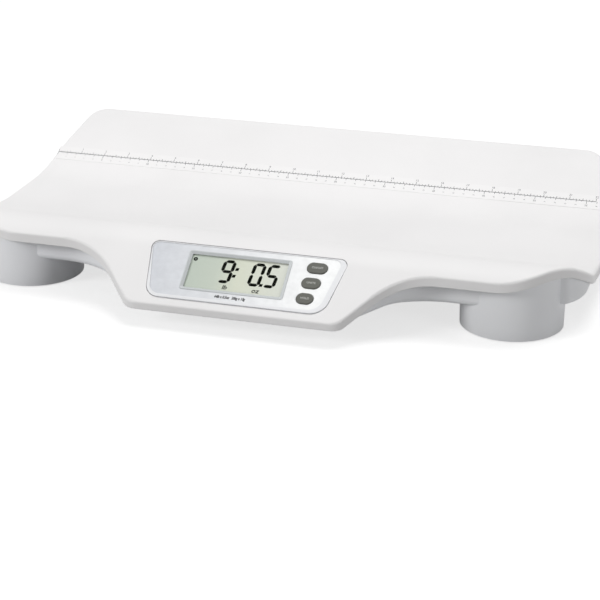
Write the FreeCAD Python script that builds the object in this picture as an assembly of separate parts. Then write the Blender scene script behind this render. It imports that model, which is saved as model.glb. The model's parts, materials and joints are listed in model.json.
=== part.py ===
import FreeCAD, Part
import math
import os

from FreeCAD import Placement, Rotation, Vector

# Digital baby weighing scale: a long trough-shaped tray on a shallow housing with four round towers.
# Millimetres. +X runs along the tray, +Y to its high back wall, +Z up. The origin lies on the
# floor, under the middle of the tray's outline.

# ---------------------------------------------------------------- driving dimensions
# Tray outline, seen from above. The x values are measured from the middle of the tray.
tray_length = 592.0
tray_depth = 355.8
front_setback = 45.4        # how far the plain front edge lies behind the bib
bib_half_width = 95.5       # bib corner, before it is rounded
bib_root_half_width = 141.5  # where the bib's flank meets the plain front edge
bib_corner_radius = 18.0
bib_root_radius = 76.0
front_corner_inset = 49.0   # where the slanting front corner starts, measured from the end
front_corner_depth = 50.4
front_corner_radius = 60.0
end_corner_radius = 70.0
rear_taper_start = 66.0     # the ends draw in over this much of the back
rear_taper_inset = 30.0
rear_taper_radius = 150.0
back_corner_radius = 22.0

# Trough profile, seen from the end.
valley_height = 37.5        # top skin above the floor at the lowest line
back_height = 88.1          # top skin at the back edge
wall_slope = 33.0           # degrees, back wall
wall_radius = 75.0          # valley into back wall
crest_setback = 66.9        # crest, before it is rounded, behind the front of the bib
crest_corner_height = 74.1
crest_radius = 40.0
knee_setback = 58.9         # foot of the crest's inner side, behind the crest
valley_setback = 61.0       # start of the flat bottom, before it is rounded, behind that foot
knee_height = 44.1
knee_radius = 80.0
valley_front_radius = 200.0
front_slope = 37.6          # degrees, the falling front that carries the control panel

# Tray moulding.
tray_skin = 3.0
rim_height = 10.0           # height of the turned-down rim
bib_rim_height = 6.9        # and at the front of the bib, where its bottom edge runs level
bib_rim_blend_radius = 10.0
rim_wall = 2.5
rim_rounding = 2.8
rim_bottom_rounding = 1.0
rib_count = 6
rib_pitch_share = 0.35      # of the distance from the middle to a tower
rib_width = 1.6
rib_height = 3.2
rib_setback = 25.0          # ends of the ribs from the crest and from the back edge

# Screws that hold the tray to the housing, on both sides of the middle.
tray_screw_front_x = 150.0
tray_screw_inner_x = 60.0
tray_screw_outer_x = 180.0
tray_screw_front_setback = 85.9
tray_screw_back_setback = 27.9
tray_screw_seat_height = 4.0  # seat of the head above the housing's underside
tray_screw_seat_wall = 3.0
tray_screw_length = 10.0

# Housing.
bib_setback = 6.0           # housing wall behind the outside of the rim, at the front of the bib,
flank_setback = 5.0         # at its flanks,
housing_front_setback = 15.2  # along the plain front edge,
housing_end_setback = 4.0   # at the ends
housing_back_setback = 6.0  # and along the back
shoulder_depth = 40.3       # front of the housing beside a front tower, behind the plain front edge
shoulder_run = 13.0         # its slanting corner
shoulder_rise = 17.3
shoulder_corner_radius = 8.0
shoulder_end_radius = 48.0
housing_hidden_radius = 10.0  # corners that lie inside a tower
housing_wall = 2.5
housing_bottom = 27.5       # underside above the floor
housing_gap = 0.4           # between the wall's top edge and the tray skin
housing_bottom_radius = 6.0
belly_front_height = 13.5   # underside at the front of the bib
belly_setback = 49.9        # where the sloping underside meets the flat one
belly_blend_radius = 40.0

# Towers and feet.
tower_end_setback = 67.4    # middle of a tower from the end of the tray
tower_front_setback = 101.8
tower_back_setback = 65.9
tower_radius = 45.9
tower_flare = 0.02          # growth of the radius on the way up
tower_bottom = 1.0
tower_wall = 2.6
shoulder_start_share = 0.16  # of the tower's radius, from its middle to where the wall turns in
shoulder_end_share = 0.73   # and to where it runs on, further back
rubber_radius = 38.0
rubber_height = 3.0
rubber_bevel = 0.8
foot_groove_depth = 0.8
foot_groove_inset = 7.0     # of the ring groove, from the rubber's edge
foot_groove_width = 3.0
foot_cap_radius = 40.0
foot_cap_plate = 2.2
foot_cap_wall = 2.0
foot_rib_count = 6
foot_rib_width = 1.8
foot_cap_height = 6.0
foot_post_radius = 7.0
cell_size = 34.0
cell_thickness = 1.8
cell_corner_radius = 1.5
cell_slot_width = 3.0
cell_slot_inset = 6.0       # of the slots' ends, from the edge of the cell
cell_slot_offset = 9.5      # of the slots' middles, from the middle of the cell
cell_cross_width = 2.6
cell_cross_inset = 7.3
gauge_width = 7.0
gauge_length = 9.0
gauge_offset = 7.0
carrier_height = 5.0
carrier_radius = 30.0
carrier_roof = 1.2
carrier_lip = 2.0           # width of the rim that keeps the cell in place
cell_play = 0.2
cell_screw_radius = 25.0    # of the circle that the three screws stand on
cell_screw_length = 8.0
cell_screw_seat_wall = 2.0  # of the carrier, under the screw's head
cell_screw_boss_roof = 2.0
gauge_thickness = 0.8

# Screws: shank radius, head radius and head height, with the clearance round a shank.
shank_radius = 1.45
head_radius = 2.8
head_height = 1.8
shank_clearance = 0.25
boss_radius = 4.2           # of the tray's posts
base_boss_radius = 5.4      # of the housing's bosses under them
small_boss_radius = 3.5
head_clearance = 0.5
tip_clearance = 0.4         # left beyond the end of a shank

# Control panel, in its own plane: u to the right, v up the slope.
panel_setback = 29.3        # middle of the panel's face, behind the front of the bib
panel_sink = 0.4            # of its middle below the falling front
panel_tilt = -2.0           # degrees, against the falling front
panel_left = 84.6           # half widths, halfway up
panel_right = 87.6
panel_half_height = 29.0
panel_left_taper = 0.154    # growth of the half widths on the way up
panel_right_taper = 0.207
film_left_taper = 0.21
panel_top_radius = 7.0
panel_left_radius = 14.0    # bottom corners
panel_right_radius = 16.0
panel_clearance = 0.5
panel_edge_rounding = 0.5
panel_lip = 0.4             # height of the plate's border above the film
border_left = 2.1
border_right = 5.4
border_bottom = 3.0
border_top = 0.9
film_clearance = 0.1
plate_thickness = 3.4
overlay_thickness = 0.5
recess_floor = 2.5          # moulded floor under the plate
recess_wall = 2.4

# Display.
window_u = -4.3             # middle of the visible window
window_v = 2.1
window_width = 88.8
window_height = 34.9
bezel_width = 3.2
bezel_depth = 1.0
bezel_land = 1.0            # flat edge round the bezel's sloping faces
bezel_corner_radius = 2.5
bezel_clearance = 0.1
pane_thickness = 0.9
pane_gap = 0.2              # air between the clear window and the display
glass_thickness = 2.8
glass_corner_radius = 0.5
window_corner_radius = 0.8
glass_margin = 2.0          # glass beyond the visible window
holder_wall = 1.6
holder_corner_radius = 1.5
holder_play = 0.2           # round the glass
holder_ledge = 2.0
holder_grip = 0.8           # how far the holder reaches up round the glass
zebra_width = 2.0
zebra_play = 0.1
board_width = 172.0
board_height = 45.0
board_thick = 1.6
board_depth = 10.0          # top of the board below the panel's face
board_screw_inset = 4.0     # screws from the board's ends
board_screw_v = (-4.0, 16.0)
board_screw_grip = 5.0      # of the thread, above the board

# Parts under the board: middle, width, height along the panel, corner radius, depth.
controller = ((-10.0, 8.0), 14.0, 14.0, 1.0, 1.6)
memory_chip = ((14.0, 8.0), 8.0, 6.0, 0.5, 1.4)
crystal = ((-52.0, 12.0), 10.0, 4.0, 1.5, 3.0)
wire_plug = ((40.0, 14.0), 20.0, 6.0, 0.5, 6.0)
filter_can_place = (-34.0, 8.0)
filter_can_radius = 3.2
filter_can_height = 6.0

# Switches under the buttons.
stem_radius = 2.2           # of the post under a button
stem_clearance = 0.8
switch_size = 6.0
switch_height = 3.5
switch_plunger = 0.9
plunger_radius = 1.6

# Push buttons: u, v, width of each; all share one height and one travel.
button_places = {
    "button_on": (66.6, 17.4, 18.6),
    "button_unit": (64.6, 1.4, 17.2),
    "button_hold": (62.7, -14.8, 15.6),
}
button_height = 11.2
button_clearance = 0.25
button_proud = 1.1
button_travel = 0.5
button_collar = 1.1
button_collar_thickness = 0.9
button_rest_gap = 0.1
button_rounding = 0.9

# Batteries, size AA.
aa_diameter = 14.2
aa_length = 49.2
aa_button_radius = 2.6
aa_button_length = 1.3
aa_edge_rounding = 0.6
battery_rows = 2
battery_setback = 83.9      # middle of the compartment, behind the front of the bib
battery_wall = 1.6
box_corner_radius = 1.5
box_inner_radius = 0.5
cell_clearance = 0.5
contact_thickness = 0.4
contact_size = 9.0
contact_spring_length = 4.5
spring_base_radius = 4.5
spring_tip_radius = 2.0
spring_wire = 0.6
door_thickness = 2.2
door_clearance = 0.4
door_corner_radius = 1.2
door_pin_radius = 0.7
door_pin_length = 2.2
door_pin_clearance = 0.15
grip_lines = 5
grip_pitch = 4.0
grip_width = 1.6
grip_length = 7.0
grip_depth = 0.6
finger_width = 14.0         # of the springy tongue that holds the door shut by friction
finger_thickness = 1.2
finger_height = 4.0
finger_setback = 0.6        # room for the tongue to swing past the compartment's wall

# Measuring strip stuck on the back wall.
strip_length = 576.0
strip_width = 17.0
strip_thickness = 0.3
strip_glue = 0.1            # layer of glue under it
strip_setback = 57.3        # middle of the strip, in front of the back edge

# ---------------------------------------------------------------- derived values
half_length = tray_length / 2
front_y = -tray_depth / 2
back_y = tray_depth / 2
plain_front_y = front_y + front_setback
far = tray_length           # longer than any cut needs
crest_corner_y = front_y + crest_setback
knee_y = crest_corner_y + knee_setback
valley_y = knee_y + valley_setback
front_fall = math.tan(math.radians(front_slope))
wall_rise = math.tan(math.radians(wall_slope))
wall_foot_y = back_y - (back_height - valley_height) / wall_rise
belly_back_y = front_y + belly_setback
battery_y = front_y + battery_setback
strip_y = back_y - strip_setback
tower_x = half_length - tower_end_setback
rib_pitch = rib_pitch_share * tower_x
tower_front_y = front_y + tower_front_setback
tower_rear_y = back_y - tower_back_setback
tower_places = {
    "front_left": (-tower_x, tower_front_y),
    "front_right": (tower_x, tower_front_y),
    "rear_left": (-tower_x, tower_rear_y),
    "rear_right": (tower_x, tower_rear_y),
}
panel_y = front_y + panel_setback
panel_z = crest_corner_height - (crest_corner_y - panel_y) * front_fall - panel_sink
panel_slope = front_slope + panel_tilt
panel_frame_place = Placement(Vector(0, panel_y, panel_z), Rotation(Vector(1, 0, 0), panel_slope))
plate_bottom = -overlay_thickness - plate_thickness
recess_bottom = plate_bottom - recess_floor
board_top = -board_depth
board_bottom = board_top - board_thick
pane_bottom = -bezel_depth - pane_thickness
glass_top = pane_bottom - pane_gap
glass_bottom = glass_top - glass_thickness
housing_floor = housing_bottom + housing_wall
shank_room = shank_radius + shank_clearance


# ---------------------------------------------------------------- paths
def corner_arc(before, corner, after, radius):
    """The two tangent points and the middle of the arc that rounds one corner of a path."""
    back = (before - corner).normalize()
    ahead = (after - corner).normalize()
    half_angle = back.getAngle(ahead) / 2
    reach = radius / math.tan(half_angle)
    inward = (back + ahead).normalize()
    middle = corner + inward * (radius / math.sin(half_angle) - radius)
    return corner + back * reach, middle, corner + ahead * reach


def rounded_path(corners, closed):
    """A wire through (point, radius) corners, with straight runs and tangent arcs."""
    points = [Vector(*point) for point, _ in corners]
    radii = [radius for _, radius in corners]
    count = len(points)
    edges = []
    here = None
    first = None
    for index in range(count):
        is_end = not closed and index in (0, count - 1)
        if is_end or radii[index] == 0:
            arc = (points[index],) * 3
        else:
            arc = corner_arc(points[index - 1], points[index], points[(index + 1) % count], radii[index])
        if here is None:
            first = arc[0]
        elif here.distanceToPoint(arc[0]) > 1e-6:
            edges.append(Part.LineSegment(here, arc[0]).toShape())
        if arc[0] != arc[2]:
            edges.append(Part.Arc(*arc).toShape())
        here = arc[2]
    if closed:
        edges.append(Part.LineSegment(here, first).toShape())
    return Part.Wire(edges)


def prism(wire, bottom, top):
    """The solid between two heights over a closed wire drawn at height 0."""
    face = Part.Face(wire)
    face.translate(Vector(0, 0, bottom))
    return face.extrude(Vector(0, 0, top - bottom))


def rounded_rectangle(width, depth, radius, centre=(0, 0)):
    """A rectangle with rounded corners, as a wire at height 0."""
    x, y = centre
    corners = [(-1, -1), (1, -1), (1, 1), (-1, 1)]
    return rounded_path([((x + sx * width / 2, y + sy * depth / 2, 0), radius) for sx, sy in corners], True)


def slot(width, height, centre=(0, 0)):
    """An oval with fully rounded ends, as a wire at height 0."""
    return rounded_rectangle(width, height, height / 2 - 0.01, centre)


def offset_wire(wire, distance):
    """The wire moved outwards by a distance, or inwards if it is negative."""
    return wire.makeOffset2D(distance, 0, False, False, False)


def cylinder(x, y, bottom, top, radius):
    return Part.makeCylinder(radius, top - bottom, Vector(x, y, bottom))


def on_panel(shape):
    """Moves a shape drawn in the panel's own plane to its place on the slope."""
    moved = shape.copy()
    moved.Placement = panel_frame_place.multiply(moved.Placement)
    return moved


# ---------------------------------------------------------------- shared forms
def half_outline():
    """The right-hand corners of the tray's outline, from the bib round to the back."""
    return [
        ((bib_half_width, front_y, 0), bib_corner_radius),
        ((bib_root_half_width, plain_front_y, 0), bib_root_radius),
        ((half_length - front_corner_inset, plain_front_y, 0), front_corner_radius),
        ((half_length, plain_front_y + front_corner_depth, 0), end_corner_radius),
        ((half_length, back_y - rear_taper_start, 0), rear_taper_radius),
        ((half_length - rear_taper_inset, back_y, 0), back_corner_radius),
    ]


def mirrored_path(right):
    """A closed outline from its right-hand corners and their mirror images."""
    left = [((-point[0], point[1], 0), radius) for point, radius in reversed(right)]
    return rounded_path(right + left, True)


def tray_outline():
    """The whole outline of the tray."""
    return mirrored_path(half_outline())


def skin_line():
    """The top skin seen from the end, from in front of the bib to behind the back wall."""
    start_y = front_y - 20
    end_y = back_y + 20
    start_z = crest_corner_height - (crest_corner_y - start_y) * front_fall
    end_z = back_height + (end_y - back_y) * wall_rise
    return rounded_path([
        ((0, start_y, start_z), 0),
        ((0, crest_corner_y, crest_corner_height), crest_radius),
        ((0, knee_y, knee_height), knee_radius),
        ((0, valley_y, valley_height), valley_front_radius),
        ((0, wall_foot_y, valley_height), wall_radius),
        ((0, end_y, end_z), 0),
    ], False)


def rim_line():
    """The bottom edge of the rim seen from the end: level in front, then parallel to the skin."""
    front_z = crest_corner_height - crest_setback * front_fall - bib_rim_height
    level_length = (rim_height - bib_rim_height) / front_fall
    end_z = back_height + 20 * wall_rise - rim_height
    return rounded_path([
        ((0, front_y - 20, front_z), 0),
        ((0, front_y + level_length, front_z), bib_rim_blend_radius),
        ((0, crest_corner_y, crest_corner_height - rim_height), crest_radius),
        ((0, knee_y, knee_height - rim_height), knee_radius),
        ((0, valley_y, valley_height - rim_height), valley_front_radius),
        ((0, wall_foot_y, valley_height - rim_height), wall_radius),
        ((0, back_y + 20, end_z), 0),
    ], False)


def belly_line():
    """The underside of the housing seen from the end: flat, with a slope down under the bib."""
    slope = (housing_bottom - belly_front_height) / (belly_back_y - front_y)
    start_y = front_y - 20
    start_z = housing_bottom - (belly_back_y - start_y) * slope
    return rounded_path([
        ((0, start_y, start_z), 0),
        ((0, belly_back_y, housing_bottom), belly_blend_radius),
        ((0, back_y + 20, housing_bottom), 0),
    ], False)


def raised(wire, height):
    moved = wire.copy()
    moved.translate(Vector(0, 0, height))
    return moved


def between(lower, upper):
    """The long solid between two lines seen from the end, over the whole length."""
    low_ends = [lower.OrderedVertexes[0].Point, lower.OrderedVertexes[-1].Point]
    high_ends = [upper.OrderedVertexes[0].Point, upper.OrderedVertexes[-1].Point]
    sides = [Part.LineSegment(low, high).toShape() for low, high in zip(low_ends, high_ends)]
    wire = Part.Wire(Part.__sortEdges__(lower.Edges + upper.Edges + sides))
    face = Part.Face(wire)
    face.translate(Vector(-far, 0, 0))
    return face.extrude(Vector(2 * far, 0, 0))


def level_line(height):
    """A straight line seen from the end, as long as the skin line."""
    start = Vector(0, front_y - 20, height)
    return Part.Wire(Part.LineSegment(start, Vector(0, back_y + 20, height)).toShape())


def band(top_drop, bottom_drop):
    """The long solid that follows the skin between two depths below it."""
    return between(raised(skin_line(), -bottom_drop), raised(skin_line(), -top_drop))


def below_skin(drop):
    """Everything under a surface that lies at one depth below the top skin."""
    return between(level_line(-far), raised(skin_line(), -drop))


def drawn_in(before, corner, after, first, second):
    """The corner of an outline whose two sides move inwards by different amounts."""
    back = (before - corner).normalize()
    ahead = (after - corner).normalize()
    turn = ahead.cross(back).z
    return corner + (ahead * first + back * second) * (1 / turn)


def half_housing():
    """The right-hand corners of the housing's outline, which steps back beside the front tower."""
    points = [Vector(*point) for point, _ in half_outline()]
    bib, root, front_corner, end, taper, rear = points
    left_bib = Vector(-bib.x, bib.y, 0)
    left_rear = Vector(-rear.x, rear.y, 0)
    wall_y = plain_front_y + housing_front_setback
    shoulder_y = plain_front_y + shoulder_depth
    end_x = half_length - housing_end_setback
    side = housing_end_setback
    housing_root = drawn_in(bib, root, front_corner, flank_setback, housing_front_setback)
    housing_rear = drawn_in(taper, rear, left_rear, side, housing_back_setback)
    return [
        (drawn_in(left_bib, bib, root, bib_setback, flank_setback), bib_corner_radius - bib_setback),
        (housing_root, bib_root_radius),
        (Vector(tower_x + tower_radius * shoulder_start_share, wall_y, 0), housing_hidden_radius),
        (Vector(tower_x + tower_radius * shoulder_end_share, shoulder_y, 0), housing_hidden_radius),
        (Vector(end_x - shoulder_run, shoulder_y, 0), shoulder_corner_radius),
        (Vector(end_x, shoulder_y + shoulder_rise, 0), shoulder_end_radius),
        (drawn_in(end, taper, rear, side, side), rear_taper_radius - side),
        (housing_rear, back_corner_radius - housing_back_setback),
    ]


outline = tray_outline()
housing_outline = mirrored_path(half_housing())
housing_inside = offset_wire(housing_outline, -housing_wall)
rim_inside = offset_wire(outline, -rim_wall)


# ---------------------------------------------------------------- screws
def screw(x, y, head_bottom, length):
    """A pan-head screw standing on its head, with the shank pointing up."""
    neck = head_bottom + head_height
    head = cylinder(x, y, head_bottom, neck, head_radius)
    return head.fuse(cylinder(x, y, neck, neck + length, shank_radius)).removeSplitter()


# Places of the screws that hold the tray down.
tray_screw_front = (tray_screw_front_x, front_y + tray_screw_front_setback)
tray_screw_back_y = back_y - tray_screw_back_setback
tray_screw_back = [(x, tray_screw_back_y) for x in (tray_screw_inner_x, tray_screw_outer_x)]
tray_screw_half = [tray_screw_front] + tray_screw_back
tray_screw_places = [(side * x, y) for side in (-1, 1) for x, y in tray_screw_half]
tray_screw_seat = housing_bottom + tray_screw_seat_height
tray_post_bottom = tray_screw_seat + tray_screw_seat_wall


def tray_shell():
    """The tray: a curved skin with a turned-down rim, a recess for the panel, and screw posts."""
    slab = between(rim_line(), skin_line()).common(prism(outline, -far, far))
    hollow = band(tray_skin, far / 4).common(prism(rim_inside, -far, far))
    shell = round_rim(slab.cut(hollow))
    shell = shell.fuse(panel_recess_block(0))
    for x, y in tray_screw_places:
        post = cylinder(x, y, tray_post_bottom, far / 4, boss_radius)
        shell = shell.fuse(post.common(below_skin(tray_skin / 2)))
    for u, v in board_post_places:
        post = on_panel(cylinder(u, v, board_top, -board_top, small_boss_radius))
        shell = shell.fuse(post.common(below_skin(tray_skin / 2)))
    shell = shell.fuse(tray_ribs())
    shell = shell.cut(panel_recess_cut())
    for x, y in tray_screw_places:
        hole_end = tray_screw_seat + tray_screw_length + tip_clearance
        shell = shell.cut(cylinder(x, y, 0, hole_end, shank_radius))
    for u, v in board_post_places:
        hole_end = board_top + board_screw_grip + tip_clearance
        shell = shell.cut(on_panel(cylinder(u, v, board_top - 1, hole_end, shank_radius)))
    return shell.removeSplitter()


def round_rim(shell):
    """Rounds the outer top edge of the rim all the way round, and its bottom edge a little."""
    top = edges_on(shell, outline, skin_line())
    shell = shell.makeFillet(rim_rounding, top)
    bottom = edges_on(shell, outline, rim_line())
    return shell.makeFillet(rim_bottom_rounding, bottom)


def edges_on(solid, wire, line):
    """The edges that lie on one outline seen from above and on one line seen from the end."""
    chosen = []
    for edge in solid.Edges:
        middle = edge.valueAt((edge.FirstParameter + edge.LastParameter) / 2)
        on_line = line.distToShape(Part.Vertex(0, middle.y, middle.z))[0] < 1e-3
        on_wire = wire.distToShape(Part.Vertex(middle.x, middle.y, 0))[0] < 1e-3
        if on_line and on_wire:
            chosen.append(edge)
    return chosen


def tray_ribs():
    """Low cross ribs under the tray, from the crest to the back wall."""
    start_y = crest_corner_y + rib_setback
    length = back_y - rib_setback - start_y
    strips = []
    for index in range(rib_count):
        x = (index - (rib_count - 1) / 2) * rib_pitch
        strips.append(Part.makeBox(rib_width, length, far, Vector(x - rib_width / 2, start_y, -far / 2)))
    return band(tray_skin / 2, tray_skin + rib_height).common(Part.makeCompound(strips))


def panel_outline(left, right, bottom, top, left_taper, growth):
    """The panel's outline, wide at the top, drawn in by a border on each side and then grown."""
    low = -panel_half_height + bottom - growth
    high = panel_half_height - top + growth
    corners = []
    for v, radius in ((low, panel_right_radius - bottom), (high, panel_top_radius - top)):
        corners.append(((panel_right - right + growth + panel_right_taper * v, v, 0), radius + growth))
    for v, radius in ((high, panel_top_radius - top), (low, panel_left_radius - bottom)):
        corners.append(((-panel_left + left - growth - left_taper * v, v, 0), radius + growth))
    return rounded_path(corners, True)


def panel_wire(growth):
    """The outline of the plate, or of the recess that it lies in."""
    return panel_outline(0, 0, 0, 0, panel_left_taper, growth)


def film_wire(growth):
    """The outline of the film inside the plate's border."""
    return panel_outline(border_left, border_right, border_bottom, border_top, film_left_taper, growth)


def panel_recess_block(growth):
    """The thickened zone of the tray that the panel's recess is sunk in, or the room it needs."""
    wire = panel_wire(panel_clearance + recess_wall + growth)
    block = on_panel(prism(wire, recess_bottom - growth, panel_half_height))
    return block.common(below_skin(tray_skin / 2))


def panel_recess_cut():
    """The recess itself, and the openings in its floor for the display and the buttons."""
    cut = prism(panel_wire(panel_clearance), plate_bottom, panel_half_height)
    display_room = window_wire(bezel_width + glass_margin, bezel_corner_radius)
    cut = cut.fuse(prism(display_room, recess_bottom - 5, 0))
    for u, v, _ in button_places.values():
        cut = cut.fuse(cylinder(u, v, recess_bottom - 5, 0, stem_radius + stem_clearance))
    return on_panel(cut)


def base_housing():
    """The lower housing: a shallow tub with a sloping belly under the bib, and four towers."""
    wall_top = raised(skin_line(), -tray_skin - housing_gap)
    floor_line = raised(belly_line(), housing_wall)
    tub = between(belly_line(), wall_top).common(prism(housing_outline, -far, far))
    inside = between(floor_line, level_line(far)).common(prism(housing_inside, -far, far))
    tub = round_bottom(tub, housing_outline, belly_line(), housing_bottom_radius)
    inside = round_bottom(inside, housing_inside, floor_line, housing_bottom_radius - housing_wall)
    under_tray = between(level_line(0), wall_top)
    for x, y in tower_places.values():
        tub = tub.fuse(tower(x, y, tower_bottom, back_height, 0).common(under_tray))
        inside = inside.fuse(tower(x, y, housing_floor, back_height + 1, tower_wall))
    body = tub.cut(inside).cut(panel_recess_block(housing_gap))
    boss_top = cell_screw_end + cell_screw_boss_roof
    for x, y in tower_places.values():
        for angle in cell_screw_angles:
            px, py = around(x, y, cell_screw_radius, angle)
            body = body.fuse(cylinder(px, py, housing_bottom, boss_top, small_boss_radius))
    for x, y in tray_screw_places:
        body = body.fuse(cylinder(x, y, housing_bottom, tray_post_bottom, base_boss_radius))
    for x, y in tower_places.values():
        body = body.cut(tower(x, y, tower_bottom - 1, housing_bottom, tower_wall))
        for angle in cell_screw_angles:
            px, py = around(x, y, cell_screw_radius, angle)
            hole_end = cell_screw_end + tip_clearance
            body = body.cut(cylinder(px, py, housing_bottom - 1, hole_end, shank_radius))
    for x, y in tray_screw_places:
        body = body.cut(cylinder(x, y, housing_bottom - 1, tray_post_bottom + 1, shank_room))
        body = body.cut(cylinder(x, y, housing_bottom - 1, tray_screw_seat, head_radius + head_clearance))
    body = body.cut(battery_opening())
    return body.removeSplitter()


def round_bottom(solid, wire, line, radius):
    """Rounds the bottom edge of a tub, which lies on both its outline and its bottom line."""
    return solid.makeFillet(radius, edges_on(solid, wire, line))


def tower(x, y, bottom, top, wall):
    """One round tower between two levels, slightly wider upwards, or with a wall its hollow."""
    bottom_radius = tower_radius + tower_flare * (bottom - tower_bottom) - wall
    top_radius = tower_radius + tower_flare * (top - tower_bottom) - wall
    return Part.makeCone(bottom_radius, top_radius, top - bottom, Vector(x, y, bottom))


def around(x, y, radius, angle):
    return x + radius * math.cos(math.radians(angle)), y + radius * math.sin(math.radians(angle))


# ---------------------------------------------------------------- weighing cells and feet
cell_screw_angles = (90, 210, 330)
carrier_bottom = housing_bottom - carrier_height
carrier_seat = carrier_bottom + cell_screw_seat_wall
cell_screw_end = carrier_seat + cell_screw_length
cell_bottom = carrier_bottom - cell_thickness


def square_on(x, y, size, radius, bottom, top):
    return prism(rounded_rectangle(size, size, radius, (x, y)), bottom, top)


def cell_carrier(x, y):
    """A moulded ring under the housing that holds one weighing cell by its outer frame."""
    ring = cylinder(x, y, carrier_bottom, housing_bottom, carrier_radius)
    ring = ring.cut(square_on(x, y, cell_size - 8, 3, carrier_bottom - 1, housing_bottom - carrier_roof))
    lip = square_on(x, y, cell_size + 2 * carrier_lip, 2, cell_bottom, carrier_bottom)
    pocket = square_on(x, y, cell_size + 2 * cell_play, 1, cell_bottom - 1, carrier_bottom)
    ring = ring.fuse(lip.cut(pocket))
    for angle in cell_screw_angles:
        px, py = around(x, y, cell_screw_radius, angle)
        ring = ring.cut(cylinder(px, py, cell_bottom - 1, housing_bottom + 1, shank_room))
        ring = ring.cut(cylinder(px, py, cell_bottom - 1, carrier_seat, head_radius + head_clearance))
    return ring.removeSplitter()


def load_cell(x, y):
    """A half-bridge cell: a square steel frame with a tongue that the foot bears on."""
    plate = square_on(x, y, cell_size, cell_corner_radius, cell_bottom, carrier_bottom)
    slot_length = cell_size - 2 * cell_slot_inset
    cross_length = 2 * cell_slot_offset + cell_slot_width
    cross_y = y - cell_size / 2 + cell_cross_inset
    openings = [slot(cross_length, cell_cross_width, (x, cross_y))]
    for side in (-1, 1):
        place = (x + side * cell_slot_offset, y)
        openings.append(rounded_rectangle(cell_slot_width, slot_length, cell_slot_width / 2 - 0.1, place))
    for opening in openings:
        plate = plate.cut(prism(opening, cell_bottom - 1, carrier_bottom + 1))
    base = rounded_rectangle(gauge_width, gauge_length, gauge_thickness, (x, y + gauge_offset))
    gauge = prism(base, carrier_bottom, carrier_bottom + gauge_thickness)
    return plate.fuse(gauge).removeSplitter()


def foot_cap(x, y):
    """The moulded foot: a round plate with a post that presses on the cell's tongue."""
    top = rubber_height + foot_cap_height
    cap = cylinder(x, y, rubber_height, top, foot_cap_radius)
    cap = cap.cut(cylinder(x, y, rubber_height + foot_cap_plate, top + 1, foot_cap_radius - foot_cap_wall))
    root = rubber_height + foot_cap_plate / 2
    post_height = cell_bottom - root
    cap = cap.fuse(Part.makeCone(foot_post_radius + 2, foot_post_radius, post_height, Vector(x, y, root)))
    rib_length = foot_cap_radius - foot_cap_wall / 2
    for index in range(foot_rib_count):
        rib = Part.makeBox(rib_length, foot_rib_width, top - root, Vector(0, -foot_rib_width / 2, root))
        turn = Rotation(Vector(0, 0, 1), 360 * (index + 0.5) / foot_rib_count)
        rib.Placement = Placement(Vector(x, y, 0), turn)
        cap = cap.fuse(rib)
    return cap.removeSplitter()


def rubber_foot(x, y):
    """A soft pad under the foot, with a bevelled edge and a ring groove."""
    pad = cylinder(x, y, 0, rubber_height, rubber_radius)
    pad = pad.makeChamfer(rubber_bevel, [edge for edge in pad.Edges if abs(edge.BoundBox.ZMax) < 1e-6])
    groove_radius = rubber_radius - foot_groove_inset
    groove = cylinder(x, y, -1, foot_groove_depth, groove_radius)
    return pad.cut(groove.cut(cylinder(x, y, -1, foot_groove_depth, groove_radius - foot_groove_width)))


def cell_screws():
    """Three screws for each carrier, up into the housing's bosses."""
    screws = []
    for x, y in tower_places.values():
        for angle in cell_screw_angles:
            px, py = around(x, y, cell_screw_radius, angle)
            screws.append(screw(px, py, carrier_seat - head_height, cell_screw_length))
    return Part.makeCompound(screws)


def tray_screws():
    """The screws that pull the tray down on the housing, from below."""
    head_bottom = tray_screw_seat - head_height
    return Part.makeCompound([screw(x, y, head_bottom, tray_screw_length) for x, y in tray_screw_places])


# ---------------------------------------------------------------- control panel
def window_wire(growth, radius):
    """The outline of the visible window, grown on every side."""
    width = window_width + 2 * growth
    height = window_height + 2 * growth
    return rounded_rectangle(width, height, radius, (window_u, window_v))


def key_hole(width, growth, bottom, top, place):
    """The oval room round a key cap between two levels."""
    return prism(slot(width + 2 * growth, button_height + 2 * growth, place), bottom, top)


def control_plate():
    """The panel's moulded plate, with a raised border, a display opening and three key holes."""
    plate = prism(panel_wire(0), plate_bottom, panel_lip)
    top_edges = [edge for edge in plate.Edges if edge.BoundBox.ZMin > panel_lip - 1e-6]
    plate = plate.makeFillet(panel_edge_rounding, top_edges)
    plate = plate.cut(prism(film_wire(0), -overlay_thickness, 1))
    plate = plate.cut(prism(window_wire(bezel_width, bezel_corner_radius), plate_bottom - 1, 1))
    for u, v, width in button_places.values():
        plate = plate.cut(key_hole(width, button_clearance, plate_bottom - 1, 1, (u, v)))
        collar_room = button_collar + 2 * button_clearance
        plate = plate.cut(key_hole(width, collar_room, plate_bottom - 1, collar_top, (u, v)))
    return on_panel(plate.removeSplitter())


def panel_overlay():
    """The printed film on the plate, open over the display and the keys."""
    film = prism(film_wire(-film_clearance), -overlay_thickness, 0)
    film = film.cut(prism(window_wire(bezel_width, bezel_corner_radius), -1, 1))
    for u, v, width in button_places.values():
        film = film.cut(key_hole(width, button_clearance, -1, 1, (u, v)))
    return on_panel(film)


def pane_wire():
    """The outline shared by the bezel and the clear window under it."""
    return window_wire(bezel_width - bezel_clearance, bezel_corner_radius - bezel_clearance)


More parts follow.
